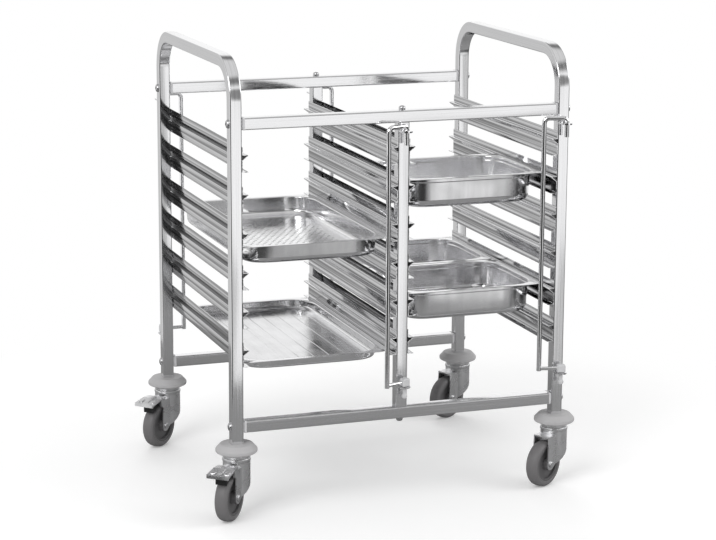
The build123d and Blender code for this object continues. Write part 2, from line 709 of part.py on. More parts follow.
os.makedirs("parts", exist_ok=True)
nodes = {**frame_parts(), **slide_parts(), **tray_parts(), **lock_parts(), **castor_parts()}
for node, piece in nodes.items():
    moved = [Pos(FRAME_AT_X, FRAME_AT_Y, 0) * solid for solid in piece.solids()]
    export_step(Compound(moved), f"parts/{node}.step")
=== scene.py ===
import json
from math import cos, pi, radians, sin, tan

import bmesh
import bpy
import numpy as np
from mathutils import Matrix, Vector


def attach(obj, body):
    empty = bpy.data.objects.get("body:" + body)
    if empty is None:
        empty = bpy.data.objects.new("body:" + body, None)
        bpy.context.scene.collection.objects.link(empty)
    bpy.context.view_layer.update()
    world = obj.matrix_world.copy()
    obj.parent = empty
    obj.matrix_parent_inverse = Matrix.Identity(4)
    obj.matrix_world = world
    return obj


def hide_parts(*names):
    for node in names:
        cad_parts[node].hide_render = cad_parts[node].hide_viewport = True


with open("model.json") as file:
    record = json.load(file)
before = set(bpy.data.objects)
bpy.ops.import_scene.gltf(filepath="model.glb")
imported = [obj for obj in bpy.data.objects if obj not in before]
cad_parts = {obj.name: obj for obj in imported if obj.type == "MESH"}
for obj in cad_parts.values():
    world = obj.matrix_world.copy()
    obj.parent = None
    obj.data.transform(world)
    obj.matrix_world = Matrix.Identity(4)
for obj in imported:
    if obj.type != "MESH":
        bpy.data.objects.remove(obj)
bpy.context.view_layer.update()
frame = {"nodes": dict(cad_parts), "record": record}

NODES = frame["nodes"]
RECORD = frame["record"]
SLOT_OF = {part["node"]: part["material_slot"] for part in RECORD["subparts"]}

# Camera
PHOTO_WIDTH = 716
FOCAL_PIXELS = 2234.631
SENSOR_MM = 36.0
CAMERA_AT = (-1.5804, -4.4931, 1.4917)
CAMERA_YAW = 19.596
CAMERA_PITCH = 12.418
CAMERA_ROLL = 0.2885


def place_camera():
    """The photograph's camera, its axes worked out from yaw, pitch and roll."""
    yaw, pitch, roll = radians(CAMERA_YAW), radians(CAMERA_PITCH), radians(CAMERA_ROLL)
    forward = Vector((sin(yaw) * cos(pitch), cos(yaw) * cos(pitch), -sin(pitch)))
    level = Vector((cos(yaw), -sin(yaw), 0.0))
    upright = level.cross(forward)
    right = cos(roll) * level + sin(roll) * upright
    up = cos(roll) * upright - sin(roll) * level
    data = bpy.data.cameras.new("photo_camera")
    data.sensor_fit = "HORIZONTAL"
    data.sensor_width = SENSOR_MM
    data.lens = FOCAL_PIXELS * SENSOR_MM / PHOTO_WIDTH
    data.clip_end = 60.0
    camera = bpy.data.objects.new("photo_camera", data)
    bpy.context.scene.collection.objects.link(camera)
    turned = Matrix((right, up, -forward)).transposed().to_4x4()
    camera.matrix_world = Matrix.Translation(CAMERA_AT) @ turned
    bpy.context.scene.camera = camera


# Node trees
def node(tree, kind, links=None, **settings):
    """One shader node; settings whose names are sockets fill them, and links join sockets."""
    made = tree.nodes.new("ShaderNode" + kind)
    for key, value in settings.items():
        if hasattr(made, key):
            setattr(made, key, value)
        else:
            made.inputs[key.replace("_", " ")].default_value = value
    for key, source in (links or {}).items():
        tree.links.new(source, made.inputs[key])
    return made


def fresh_tree(owner):
    """The owner's node tree, emptied."""
    owner.use_nodes = True
    owner.node_tree.nodes.clear()
    return owner.node_tree


def rays_that_see(tree):
    """Two sockets: 1 for mirrored rays, and 1 for every ray that sees; both are 0 for the light itself."""
    path = node(tree, "LightPath")
    mirrored = {0: path.outputs["Is Glossy Ray"], 1: path.outputs["Is Transmission Ray"]}
    mirror = node(tree, "Math", mirrored, operation="MAXIMUM")
    seen = node(tree, "Math", {0: path.outputs["Is Camera Ray"], 1: mirror.outputs[0]}, operation="MAXIMUM")
    return mirror.outputs[0], seen.outputs[0]


def slope(tree, value, start, end, low, high):
    """A smooth step from low to high as value goes from start to end."""
    ramp = node(tree, "MapRange", {"Value": value}, interpolation_type="SMOOTHSTEP")
    for key, number in {"From Min": start, "From Max": end, "To Min": low, "To Max": high}.items():
        ramp.inputs[key].default_value = number
    return ramp.outputs["Result"]


def times(tree, a, b):
    """The product of two sockets."""
    return node(tree, "Math", {0: a, 1: b}, operation="MULTIPLY").outputs[0]


# Light
DAYLIGHT = 0.62
OVERHEAD = (0, 90)
CEILING = (24, 44, 1.0, 0.2)
SKYLIGHT = (48, 62, 1.0, 3.4)
GROUND = (-26, -21, 0.2, 1.0)
SKIRTING = (-17, -13.5, 0.82, 1.0)
FRONT_GAP = ((218, -6), 47, 33, 1.0, 0.04)
SIDE_GAP = ((116, -16), 34, 20, 1.0, 0.05)
CAMERA_SHADE = ((160, 12), 17, 8, 1.0, 0.25)
BACK_CORNER = ((340, -12), 40, 22, 1.0, 0.6)
RIGHT_SIDE = ((75, 0), 70, 54, 0.0, 1.0)
RIGHT_SIDE_TOP = (-13.5, -16.5, 0.0, 1.0)
LOW_GAP = 0.08
CAMERA_WALL = ((161, -12), 45, 30, 1.0, 0.0)
CAMERA_WALL_TOP = (-10.4, -9, 0.0, 1.0)
DIM_WALL = 0.52
WINDOW = (161.2, 2.2, 4.4)
LOW_WINDOW = (160.5, 5.5, 9)
LOW_WINDOW_TOP = (-16.4, -17.6, 0.0, 1.0)
SOFTBOXES = {
    "key_softbox": ((-3.2, -2.6, 3.4), 2.6, 95.0, True),
    "fill_softbox": ((3.4, -1.6, 2.6), 2.4, 40.0, True),
    "back_softbox": ((0.4, 3.6, 3.2), 2.4, 40.0, False),
}
TROLLEY_MIDDLE = (0.0, 0.0, 0.45)


def toward(tree, direction, azimuth, elevation):
    """Cosine of the angle to a place in the room; azimuth runs in degrees from the rear to the right."""
    a, e = radians(azimuth), radians(elevation)
    dot = node(tree, "VectorMath", {0: direction}, operation="DOT_PRODUCT")
    dot.inputs[1].default_value = (sin(a) * cos(e), cos(a) * cos(e), sin(e))
    return dot.outputs["Value"]


def band(tree, direction, start, end, before, after):
    """A level band: a smooth step between two elevations, over the sine of the ray's elevation."""
    height = toward(tree, direction, *OVERHEAD)
    return slope(tree, height, sin(radians(start)), sin(radians(end)), before, after)


def patch(tree, direction, middle, rim, core, outside, inside):
    """A round patch: a smooth step from its rim's angle about its middle in to its core's angle."""
    near = toward(tree, direction, *middle)
    return slope(tree, near, cos(radians(rim)), cos(radians(core)), outside, inside)


def upright_strip(tree, direction, azimuth, half, edge):
    """1 within half an angle on both sides of an upright plane through the azimuth, and 0 past its edge."""
    aside = node(tree, "Math", {0: toward(tree, direction, azimuth + 90, 0)}, operation="ABSOLUTE")
    return slope(tree, aside.outputs[0], sin(radians(half)), sin(radians(edge)), 1.0, 0.0)


def camera_wall(tree, direction):
    """The dim wall round the camera: full light away from it, above its top and in its two windows."""
    low_window = upright_strip(tree, direction, *LOW_WINDOW)
    low_window = times(tree, low_window, band(tree, direction, *LOW_WINDOW_TOP))
    lit = patch(tree, direction, *CAMERA_WALL)
    above = band(tree, direction, *CAMERA_WALL_TOP)
    for part in (above, upright_strip(tree, direction, *WINDOW), low_window):
        lit = node(tree, "Math", {0: lit, 1: part}, operation="MAXIMUM").outputs[0]
    return slope(tree, lit, 0.0, 1.0, DIM_WALL, 1.0)


def mirrored_room(tree):
    """What the steel sees: the product of the room's level bands, round patches and camera wall."""
    direction = node(tree, "TexCoord").outputs["Generated"]
    beside = times(tree, patch(tree, direction, *RIGHT_SIDE), band(tree, direction, *RIGHT_SIDE_TOP))
    room = times(tree, camera_wall(tree, direction), slope(tree, beside, 0.0, 1.0, 1.0, LOW_GAP))
    for level in (CEILING, SKYLIGHT, GROUND, SKIRTING):
        room = times(tree, room, band(tree, direction, *level))
    for spot in (FRONT_GAP, SIDE_GAP, CAMERA_SHADE, BACK_CORNER):
        room = times(tree, room, patch(tree, direction, *spot))
    return room


def light_studio():
    """A white room that lights evenly, while the steel mirrors its dark ceiling, gaps and camera wall."""
    world = bpy.data.worlds.new("studio")
    bpy.context.scene.world = world
    tree = fresh_tree(world)
    mirror, seen = rays_that_see(tree)
    shade = node(tree, "Mix", {0: mirror, 3: mirrored_room(tree)}, data_type="FLOAT")
    shade.inputs[2].default_value = 1.0
    strength = node(tree, "Mix", {0: seen, 3: shade.outputs[0]}, data_type="FLOAT")
    strength.inputs[2].default_value = DAYLIGHT
    background = node(tree, "Background", {"Strength": strength.outputs[0]}, Color=grey(1.0))
    node(tree, "OutputWorld", {"Surface": background.outputs[0]})
    for name, (spot, size, power, mirrored) in SOFTBOXES.items():
        lamp(name, spot, size, power, mirrored)


def lamp(name, spot, size, power, mirrored):
    """A square softbox aimed at the middle of the trolley; the steel need not mirror it."""
    data = bpy.data.lights.new(name, "AREA")
    data.size = size
    data.energy = power
    piece = bpy.data.objects.new(name, data)
    bpy.context.scene.collection.objects.link(piece)
    piece.visible_glossy = mirrored
    aim = Vector(TROLLEY_MIDDLE) - Vector(spot)
    piece.matrix_world = Matrix.Translation(spot) @ aim.to_track_quat("-Z", "Y").to_matrix().to_4x4()


def grey(value):
    """An opaque colour without a hue."""
    return (value, value, value, 1.0)


# Floor
FLOOR_RADIUS = 1.35
FLOOR_POINTS = 96
FLOOR_WHITE = 0.86
FLOOR_GLOW = 0.22
MIRRORED_FLOOR = 0.28
FADE_START = 0.62 * FLOOR_RADIUS
FADE_END = 0.97 * FLOOR_RADIUS


def floor_disc():
    """A circle of points joined to one level face."""
    turn = np.linspace(0, 2 * pi, FLOOR_POINTS, endpoint=False)
    rim = np.column_stack([FLOOR_RADIUS * np.cos(turn), FLOOR_RADIUS * np.sin(turn), np.zeros_like(turn)])
    mesh = bpy.data.meshes.new("floor")
    mesh.from_pydata(rim.tolist(), [], [list(range(len(rim)))])
    return mesh


def floor_paper():
    """Pale paper with a little glow, white towards its edge; mirrors see it darker."""
    paper = bpy.data.materials.new("pale_floor")
    tree = fresh_tree(paper)
    mirror, seen = rays_that_see(tree)
    diffuse = node(tree, "BsdfDiffuse", Color=grey(FLOOR_WHITE))
    glow = node(tree, "Emission", {"Strength": slope(tree, seen, 0.0, 1.0, 0.0, FLOOR_GLOW)})
    both = node(tree, "AddShader", {0: diffuse.outputs[0], 1: glow.outputs[0]})
    dim = node(tree, "BsdfDiffuse", Color=grey(MIRRORED_FLOOR))
    paper_white = node(tree, "Emission", Strength=1.0)
    place = node(tree, "TexCoord").outputs["Object"]
    reach = node(tree, "VectorMath", {0: place}, operation="LENGTH").outputs["Value"]
    faded = slope(tree, reach, FADE_START, FADE_END, 0.0, 1.0)
    seen_floor = node(tree, "MixShader", {0: faded, 1: both.outputs[0], 2: paper_white.outputs[0]})
    either = node(tree, "MixShader", {0: mirror, 1: seen_floor.outputs[0], 2: dim.outputs[0]})
    node(tree, "OutputMaterial", {"Surface": either.outputs[0]})
    return paper


def lay_floor():
    """A round pale floor, white to the camera but for the object's shadow."""
    mesh = floor_disc()
    mesh.materials.append(floor_paper())
    floor = bpy.data.objects.new("floor", mesh)
    bpy.context.scene.collection.objects.link(floor)


# Materials
NOISE_SPREAD = (0.3, 0.7)
# Edges of the darker streaks in polished steel's base colour, partly grain and partly painted reflection.
GRAIN_AND_REFLECTION_EDGES = (0.36, 0.58)
DRAW_MARKS = (70.0, 5.0, 1.0)
DRAW_MARK_TONE = 0.93
SATIN_CLOUD = (22.0, 22.0, 22.0)
DENTS = (9.0, 9.0, 9.0)
RAISED_LINE = 0.0016
ZINC_CLOUD = (40.0, 40.0, 40.0)
MOULDED_CLOUD = (14.0, 14.0, 14.0)
MOULDED_TINT = 0.06
PEBBLE = (900.0, 900.0, 900.0)


def finish(name, colour, metallic):
    """A Principled material; numbers that hold all over sit on its own sockets."""
    made = bpy.data.materials.new(name)
    tree = fresh_tree(made)
    shader = node(tree, "BsdfPrincipled")
    shader.inputs["Base Color"].default_value = (*colour, 1.0)
    shader.inputs["Metallic"].default_value = metallic
    node(tree, "OutputMaterial", {"Surface": shader.outputs[0]})
    return made, tree, shader


def grain(tree, scale, detail=3.0, uv=False):
    """Noise stretched by the scale, so that it runs as long streaks; no detail leaves smooth waves."""
    source = node(tree, "TexCoord").outputs["UV" if uv else "Object"]
    stretch = node(tree, "Mapping", {"Vector": source})
    stretch.inputs["Scale"].default_value = scale
    noise = node(tree, "TexNoise", {"Vector": stretch.outputs[0]}, Scale=1.0, Detail=detail, Roughness=0.6)
    return noise.outputs["Fac"]


def uneven_colour(tree, shader, fraction, colour, dark, light=1.0):
    """Base colour that goes from a dark to a light multiple of itself as the fraction goes from 0 to 1."""
    mix = node(tree, "MixRGB", {"Fac": fraction})
    mix.inputs["Color1"].default_value = (*[c * dark for c in colour], 1.0)
    mix.inputs["Color2"].default_value = (*[min(1.0, c * light) for c in colour], 1.0)
    tree.links.new(mix.outputs[0], shader.inputs["Base Color"])


def uneven_gloss(tree, shader, noise, low, high):
    """Roughness that goes from low to high over the spread of the noise."""
    tree.links.new(slope(tree, noise, *NOISE_SPREAD, low, high), shader.inputs["Roughness"])


def polished(name, colour, rough, scale, waviness=0.25, uv=False, grain_and_reflection_tone=1.0, wave_scale=(7.0, 7.0, 7.0)):
    """Polished stainless: streaks along the grain that darken its base colour, partly the grain's own tone
    and partly painted reflection, and slow waves of its normal.
    """
    made, tree, shader = finish(name, colour, 1.0)
    streaks = grain(tree, scale, uv=uv)
    if grain_and_reflection_tone < 1.0:
        # Painted reflection: the base colour darkens along the streaks, partly the grain and partly dark
        # reflections painted in.
        uneven_colour(tree, shader, slope(tree, streaks, *GRAIN_AND_REFLECTION_EDGES, 0.0, 1.0), colour, grain_and_reflection_tone)
    uneven_gloss(tree, shader, streaks, rough * 0.7, rough * 1.5)
    fine = node(tree, "Bump", {"Height": streaks}, Strength=0.08, Distance=0.0002)
    waves = {"Height": grain(tree, wave_scale, 0.0, uv), "Normal": fine.outputs[0]}
    bent = node(tree, "Bump", waves, Strength=waviness, Distance=0.004)
    tree.links.new(bent.outputs[0], shader.inputs["Normal"])
    return made


def pressed(name, colour, rough, line_pitch=None):
    """Drawn sheet: satin patches, draw marks down its wall, slow dents, and raised lines at a pitch."""
    made, tree, shader = finish(name, colour, 1.0)
    marks = grain(tree, DRAW_MARKS, uv=True)
    uneven_colour(tree, shader, slope(tree, marks, *NOISE_SPREAD, 0.0, 1.0), colour, DRAW_MARK_TONE)
    uneven_gloss(tree, shader, grain(tree, SATIN_CLOUD, 1.0), rough * 0.8, rough * 1.3)
    dents = grain(tree, DENTS, 0.0)
    bump = node(tree, "Bump", {"Height": dents}, Strength=0.25, Distance=0.003)
    if line_pitch:
        lines = {"Height": raised_lines(tree, line_pitch), "Normal": bump.outputs[0]}
        bump = node(tree, "Bump", lines, Strength=0.5, Distance=0.0006)
    tree.links.new(bump.outputs[0], shader.inputs["Normal"])
    return made


def raised_lines(tree, pitch):
    """1 on lines that run from front to rear at a pitch, falling to 0 within a line's half width."""
    place = node(tree, "TexCoord").outputs["Object"]
    across = node(tree, "SeparateXYZ", {0: place}).outputs["X"]
    fold = node(tree, "Math", {0: across}, operation="PINGPONG")
    fold.inputs[1].default_value = pitch / 2
    return slope(tree, fold.outputs[0], 0.0, RAISED_LINE, 1.0, 0.0)


def zinc(name, colour):
    """Zinc-plated steel: a soft mottle in its gloss, and as a faint bump."""
    made, tree, shader = finish(name, colour, 1.0)
    cloud = grain(tree, ZINC_CLOUD, 1.0)
    uneven_gloss(tree, shader, cloud, 0.24, 0.36)
    bump = node(tree, "Bump", {"Height": cloud}, Strength=0.05, Distance=0.0006)
    tree.links.new(bump.outputs[0], shader.inputs["Normal"])
    return made


def moulded(name, colour, rough):
    """Moulded plastic or rubber: a fine pebble, and a slight unevenness of colour."""
    made, tree, shader = finish(name, colour, 0.0)
    cloud = grain(tree, MOULDED_CLOUD, 1.0)
    uneven_colour(tree, shader, cloud, colour, 1 - MOULDED_TINT, 1 + MOULDED_TINT)
    pebble = grain(tree, PEBBLE, 1.0)
    uneven_gloss(tree, shader, pebble, rough * 0.85, rough * 1.15)
    bump = node(tree, "Bump", {"Height": pebble}, Strength=0.2, Distance=0.0002)
    tree.links.new(bump.outputs[0], shader.inputs["Normal"])
    return made


STEEL = (0.9, 0.9, 0.91)
# Each finish's tone is how dark its streaks make the base colour: partly the grain, partly painted
# reflection.
TUBE_FINISH = {
    "rough": 0.1,
    "scale": (700.0, 3.0, 1.0),
    "waviness": 0.2,
    "uv": True,
    "grain_and_reflection_tone": 0.9,
    "wave_scale": (20.0, 4.0, 1.0),
}
SLIDE_FINISH = {
    "rough": 0.08,
    "scale": (200.0, 0.6, 1.0),
    "waviness": 0.12,
    "uv": True,
    "grain_and_reflection_tone": 0.28,
    "wave_scale": (30.0, 0.5, 1.0),
}
MATERIALS = {
    "frame_steel": polished("frame_tube", STEEL, **TUBE_FINISH),
    "rail_steel": polished("rail_tube", STEEL, **TUBE_FINISH),
    "slide_steel": polished("slide_sheet", (0.88, 0.88, 0.89), **SLIDE_FINISH),
    "tray_steel": pressed("tray_sheet", STEEL, rough=0.15),
    "rod_steel": polished("rod", (0.95, 0.95, 0.96), rough=0.1, scale=(500.0, 500.0, 4.0)),
    "bolt_steel": polished("bolt", (0.6, 0.6, 0.61), rough=0.25, scale=(80.0, 80.0, 80.0)),
    "plug_plastic": moulded("plug", (0.6, 0.6, 0.61), rough=0.5),
    "block_grey": moulded("block", (0.62, 0.62, 0.63), rough=0.45),
    "bumper_grey": moulded("bumper", (0.46, 0.455, 0.46), rough=0.55),
    "zinc": zinc("zinc_pressing", (0.84, 0.84, 0.85)),
    "axle_steel": zinc("axle_zinc", (0.72, 0.72, 0.73)),
    "tyre_grey": moulded("tyre", (0.165, 0.16, 0.163), rough=0.5),
    "core_grey": moulded("wheel_core", (0.12, 0.117, 0.12), rough=0.5),
    "shoe_black": moulded("brake_shoe", (0.012, 0.012, 0.012), rough=0.6),
}
LINED_FLOOR = pressed("lined_tray_floor", (0.8, 0.8, 0.81), rough=0.17, line_pitch=0.034)
LEDGE_SHADE_FINISH = {"rough": 0.3, "scale": (420.0, 1.5, 1.0), "uv": True, "grain_and_reflection_tone": 0.5}
# Painted shade: dark grey steel inside each slide's ledge fold, where shade falls.
LEDGE_PAINTED_SHADE = polished("ledge_painted_shade", (0.22, 0.22, 0.225), **LEDGE_SHADE_FINISH)

# Sizes in millimetres about the middle of the trolley
MM = 0.001
CENTRE = np.array([22.6, 23.0, 0.0])
TUBE = 25.0
EDGE_ROUND = 2.6
SIDE_CROWN = 0.12
LEG_X = 357.5
LEG_Y = 277.5
LEG_FOOT = 132.0
HANDLE_Z = 937.5
HANDLE_BEND = 75.0
RAIL_REACH = 339.0
RAIL_LEVELS = {"bottom": 190.5, "top": 817.5}
POST_ENDS = (203.0, 805.0)
ENDS = {"front": -1, "rear": 1}
SIDES = {"left": -1, "right": 1}
TOP_LEDGE = 755.5
LEVEL_PITCH = 80.5
LEDGE_LEVELS = {level: TOP_LEDGE - LEVEL_PITCH * (level - 1) for level in range(1, 7)}
COLUMNS = {"left": (TUBE / 2 - LEG_X, -TUBE / 2), "right": (TUBE / 2, LEG_X - TUBE / 2)}
COLUMN_X = LEG_X / 2
SLIDE_HALF_LENGTH = 290.0
SLIDE_SHEET = 1.2
LIP_DROP = 34.8
TRAY_LIFT = 0.3
TRAY_WIDTH = 325.0
TRAY_SHEET = 1.0
RIM_FLANGE = 12.5
RIM_CORNER = 24.0
RIM_FOLD = 2.4
RIM_EDGE = 0.15
WELL_CORNER = 56.0
EASED_REACH = 1.42
WELL_DRAFT = 3.0
SHOULDER_DROP = 8.0
SHOULDER_STEP = 1.4
SHOULDER_SLANT = 2.0
SHOULDER_FOLD = 1.6


# Surfaces
def quads(rows, columns, around_rows, around_columns):
    """Corner numbers of a grid's faces: each joins a row and column to the next ones."""
    row = np.arange(rows if around_rows else rows - 1)[:, None]
    column = np.arange(columns if around_columns else columns - 1)[None, :]
    here = row * columns
    below = (row + 1) % rows * columns
    beside = (column + 1) % columns
    corners = (here + column, here + beside, below + beside, below + column)
    return np.stack(np.broadcast_arrays(*corners), -1).reshape(-1, 4)


def running_length(points, axis):
    """Distance run along one way of a grid, closed round, as the mean over the other way."""
    steps = np.linalg.norm(np.roll(points, -1, axis) - points, axis=-1).mean(1 - axis)
    return np.concatenate([[0.0], np.cumsum(steps)])


def surface(points, around_rows=False, around_columns=False, lids=False, kinds=None):
    """A grid of points as a mesh part, with a kind of finish for each column; its UV is metres run."""
    rows, columns = points.shape[:2]
    faces = quads(rows, columns, around_rows, around_columns)
    across = running_length(points, 1) * MM
    along = running_length(points, 0) * MM
    r = np.arange(rows if around_rows else rows - 1)[:, None]
    c = np.arange(columns if around_columns else columns - 1)[None, :]
    corner_uv = [(across[c + i] + 0 * r, along[r + j] + 0 * c) for i, j in ((0, 0), (1, 0), (1, 1), (0, 1))]
    uv = np.stack([np.stack(pair, -1) for pair in corner_uv], -2).reshape(-1, 4, 2)
    kinds = np.zeros(columns, int) if kinds is None else kinds
    face_kinds = (kinds[c] + 0 * r).reshape(-1)
    made = {"points": points.reshape(-1, 3), "faces": faces, "uv": uv, "kinds": face_kinds, "lids": []}
    if lids:
        last = (rows - 1) * columns
        made["lids"] = [np.arange(columns)[::-1], last + np.arange(columns)]
    return made


def plain_part(points, faces):
    """Points and faces as a mesh part whose UV is its place from above, in metres."""
    return {
        "points": points,
        "faces": faces,
        "uv": points[faces][..., :2] * MM,
        "kinds": np.zeros(len(faces), int),
        "lids": [],
    }


def moved(part, matrix):
    """The same part, its points turned and shifted by a 4 by 4 matrix."""
    turned_points = part["points"] @ matrix[:3, :3].T + matrix[:3, 3]
    return {**part, "points": turned_points}


def build(name, parts, slot, body, nodes, finishes=None, lid_kind=0, sharp=32.0, weld=False):
    """Joins parts into one smooth piece, creased where faces meet at over the sharp angle, in degrees."""
    starts = np.cumsum([0] + [len(part["points"]) for part in parts])
    points = (np.concatenate([part["points"] for part in parts]) + CENTRE) * MM
    faces = np.concatenate([part["faces"] + start for part, start in zip(parts, starts)]).tolist()
    lids = [(lid + start).tolist() for part, start in zip(parts, starts) for lid in part["lids"]]
    mesh = bpy.data.meshes.new(name)
    mesh.from_pydata(points.tolist(), [], faces + lids)
    flat_uv = np.concatenate([part["uv"].reshape(-1, 2) for part in parts])
    lid_points = points[np.concatenate([np.array(lid) for lid in lids])] if lids else np.zeros((0, 3))
    uv = np.concatenate([flat_uv, lid_points[:, :2] + lid_points[:, 2:]])
    mesh.uv_layers.new(name="run").data.foreach_set("uv", uv.astype(np.float32).ravel())
    kinds = np.concatenate([part["kinds"] for part in parts] + [np.full(len(lids), lid_kind)])
    mesh.polygons.foreach_set("material_index", kinds.astype(np.int32))
    for material in finishes or [MATERIALS[slot]]:
        mesh.materials.append(material)
    if weld:
        close_seams(mesh)
    mesh.shade_smooth()
    mesh.set_sharp_from_angle(angle=radians(sharp))
    piece = bpy.data.objects.new(name, mesh)
    bpy.context.scene.collection.objects.link(piece)
    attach(piece, body)
    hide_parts(*nodes)


SEAM = 0.002


def close_seams(mesh):
    """Merges the points that two parts share, no further apart than the seam."""
    work = bmesh.new()
    work.from_mesh(mesh)
    bmesh.ops.remove_doubles(work, verts=work.verts, dist=SEAM * MM)
    work.to_mesh(mesh)
    work.free()


SIDE_PLACES = np.array([-1.0, -0.94, -0.6, -0.2, 0.2, 0.6, 0.94, 1.0])
CORNER_PLACES = np.arange(15.0, 90.0, 15.0)


def rounded_square(size, corner, crown):
    """Four sides that bulge by the crown, as a parabola, and four quarter-circle corners."""
    half = size / 2
    flat = half - corner
    side = np.stack([half - crown * SIDE_PLACES * SIDE_PLACES, flat * SIDE_PLACES], -1)
    turn = np.radians(CORNER_PLACES)
    corner_line = flat + (corner - crown) * np.stack([np.cos(turn), np.sin(turn)], -1)
    quarter = np.concatenate([side, corner_line])
    across = np.stack([-quarter[:, 1], quarter[:, 0]], -1)
    return np.concatenate([quarter, across, -quarter, -across])


def bent_path(corners, radii, steps=10):
    """Straight runs, and at each corner an arc from a tangent length before it: points and directions."""
    corners = np.array(corners, float)
    runs = np.diff(corners, axis=0)
    runs /= np.linalg.norm(runs, axis=1)[:, None]
    points, ways = [corners[:1]], [runs[:1]]
    for corner, before, after, radius in zip(corners[1:-1], runs[:-1], runs[1:], radii):
        angle = np.arccos(before @ after)
        inward = (after - before * (before @ after)) / np.sin(angle)
        start = corner - before * radius * tan(angle / 2)
        turn = np.linspace(0, angle, steps + 1)[:, None]
        points.append(start + radius * (np.sin(turn) * before + (1 - np.cos(turn)) * inward))
        ways.append(np.cos(turn) * before + np.sin(turn) * inward)
    return np.concatenate(points + [corners[-1:]]), np.concatenate(ways + [runs[-1:]])


def carry(section, path, side):
    """A flat section carried along a path: first axis along side, second across both side and path."""
    points, ways = path
    side = np.array(side, float)
    across = np.cross(ways, side)
    return points[:, None] + section[None, :, :1] * side + section[None, :, 1:] * across[:, None]


def folded_sheet(corners, radii, thickness, steps=3):
    """Outline of a bent sheet: its middle line, half a sheet to the right and back half to the left."""
    middle, ways = bent_path(np.pad(np.array(corners, float), ((0, 0), (0, 1))), radii, steps)
    middle, ways = middle[:, :2], ways[:, :2]
    right = np.stack([ways[:, 1], -ways[:, 0]], -1) * thickness / 2
    return middle + right, (middle - right)[::-1]


def turned(profile, segments, hexed=()):
    """A profile of radius and height turned about Z; hexed rows follow a hexagon, radius over cosine."""
    turn = np.linspace(0, 2 * pi, segments, endpoint=False)
    profile = np.array(profile, float)
    reach = np.repeat(profile[:, :1], segments, 1)
    for row in hexed:
        reach[row] /= np.cos((turn + pi / 6) % (pi / 3) - pi / 6)
    height = np.repeat(profile[:, 1:], segments, 1)
    return np.stack([reach * np.cos(turn), reach * np.sin(turn), height], -1)


def placement(spot, turn=0.0, lean=None):
    """Stands a part drawn about Z at a spot: its Z is first leant along lean, then it turns about Z."""
    matrix = Matrix.Translation(spot) @ Matrix.Rotation(radians(turn), 4, "Z")
    if lean is not None:
        matrix = matrix @ Vector(lean).to_track_quat("Z", "Y").to_matrix().to_4x4()
    return np.array(matrix)


# Frame
def tube(corners, radii, side):
    """Square tube carried along a bent path, its ends closed."""
    section = rounded_square(TUBE, EDGE_ROUND, SIDE_CROWN)
    return surface(carry(section, bent_path(corners, radii), side), around_columns=True, lids=True)


def frame_tubes():
    """The two bent end frames, the four rails and the two centre posts."""
    for side, sign in SIDES.items():
        x = sign * LEG_X
        front_leg = [(x, -LEG_Y, LEG_FOOT), (x, -LEG_Y, HANDLE_Z)]
        rear_leg = [(x, LEG_Y, HANDLE_Z), (x, LEG_Y, LEG_FOOT)]
        part = tube(front_leg + rear_leg, (HANDLE_BEND, HANDLE_BEND), (1, 0, 0))
        build("bent_" + side + "_end", [part], "frame_steel", "frame", ["end_frame_" + side])
    for end, sign in ENDS.items():
        y = sign * LEG_Y
        for level, z in RAIL_LEVELS.items():
            part = tube([(-RAIL_REACH, y, z), (RAIL_REACH, y, z)], (), (0, 0, 1))
            rail = level + "_rail_" + end
            build("square_" + rail, [part], "rail_steel", "frame", [rail])
        part = tube([(0, y, POST_ENDS[0]), (0, y, POST_ENDS[1])], (), (1, 0, 0))
        build("square_post_" + end, [part], "frame_steel", "frame", ["centre_post_" + end])


BOLT_RIM = [(0.1, 0), (9, 0), (9, 1.0)]
BOLT_CROWN = [(8.6, 2.4), (7.5, 3.7), (5.8, 4.6), (4.2, 4.95)]
BOLT_SOCKET = [(3.0, 5.0), (3.0, 2.2), (0.1, 2.2)]
SCREW_RIM = [(0.1, 0), (7, 0), (7, 4.3)]
SCREW_CROWN = [(6.6, 6.2), (5.4, 7.6), (4.0, 8.3), (3.1, 8.5)]
SCREW_SOCKET = [(2.4, 8.5), (2.4, 6.0), (0.1, 6.0)]
HEAD_POINTS = 24


def domed_head(rim, crown, socket):
    """A head turned about Z from its foot up over its crown and down into its six-sided socket."""
    sides = (len(rim + crown), len(rim + crown) + 1)
    profile = turned(rim + crown + socket, HEAD_POINTS, hexed=sides)
    return surface(profile, around_columns=True, lids=True)


def bolt_heads():
    """Eight domed heads on the legs' outer faces, and four taller ones on the rails."""
    dome = domed_head(BOLT_RIM, BOLT_CROWN, BOLT_SOCKET)
    heads = []
    for side in SIDES.values():
        for end in ENDS.values():
            for z in RAIL_LEVELS.values():
                spot = (side * (LEG_X + TUBE / 2), end * LEG_Y, z)
                heads.append(moved(dome, placement(spot, lean=(side, 0, 0))))
    build("socket_bolts", heads, "bolt_steel", "frame", ["frame_bolts"])
    cap = domed_head(SCREW_RIM, SCREW_CROWN, SCREW_SOCKET)
    screws = []
    for end in ENDS.values():
        screws.append(moved(cap, placement((0, end * LEG_Y, RAIL_LEVELS["top"] + TUBE / 2))))
        spot = (0, end * LEG_Y, RAIL_LEVELS["bottom"] - TUBE / 2)
        screws.append(moved(cap, placement(spot, lean=(0, 0, -1))))
    build("cap_screws", screws, "bolt_steel", "frame", ["post_screws"])


# Slides
WEB_X = SLIDE_SHEET / 2
LIP_Z = -LIP_DROP - SLIDE_SHEET / 2
LEDGE_LINE = [(WEB_X, 16.0), (WEB_X, -0.6), (14.0, -0.6), (WEB_X, -10.8)]
LIP_LINE = [(WEB_X, LIP_Z), (13.0, LIP_Z)]
SLIDE_FOLDS = (1.0, 1.0, 1.0, 1.0)
# Columns of the outline inside the ledge fold, which get the painted shade.
PAINTED_SHADE_COLUMNS = slice(3, 10)


